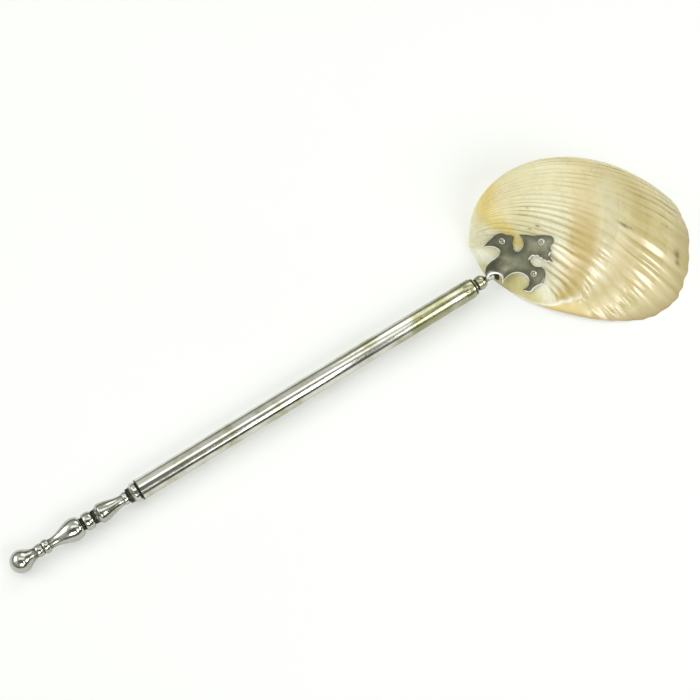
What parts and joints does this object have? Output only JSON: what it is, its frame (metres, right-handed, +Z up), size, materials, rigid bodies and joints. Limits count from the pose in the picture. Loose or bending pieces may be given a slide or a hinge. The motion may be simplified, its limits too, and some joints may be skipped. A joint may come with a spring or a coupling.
{
  "type": "caviar spoon",
  "caption": "Serving spoon with a polished ribbed shell bowl, riveted through a leaf-shaped plate to a turned tubular handle with a baluster finial.",
  "frame": {"origin": "middle of the bottom of the bounding box, on the table that the spoon lies on face down", "axes": "+X along the handle from its finial to its bowl, +Z up from the table, +Y to the side that the shell leans to"},
  "size_m": [0.2132, 0.0578, 0.0199],
  "materials": {
    "polished_shell": "ribbed sea shell, ground and polished to a cream and tan pearl",
    "oxidised_silver": "silver sheet, darkened by oxidation, bright at its cut edges",
    "polished_silver": "turned and polished silver with light olive tarnish in the grooves",
    "rivet_silver": "hammered silver wire and sheet"
  },
  "bodies": {
    "root": {"shell_bowl": "polished_shell", "mount_plate": "oxidised_silver", "handle_tube": "polished_silver", "neck": "polished_silver", "finial_collar": "polished_silver", "finial_baluster": "polished_silver", "finial_knop": "polished_silver", "rivet_heel": "rivet_silver", "rivet_tip": "rivet_silver", "rivet_side": "rivet_silver", "burr_heel": "rivet_silver", "burr_tip": "rivet_silver", "burr_side": "rivet_silver"}
  },
  "joints": []
}
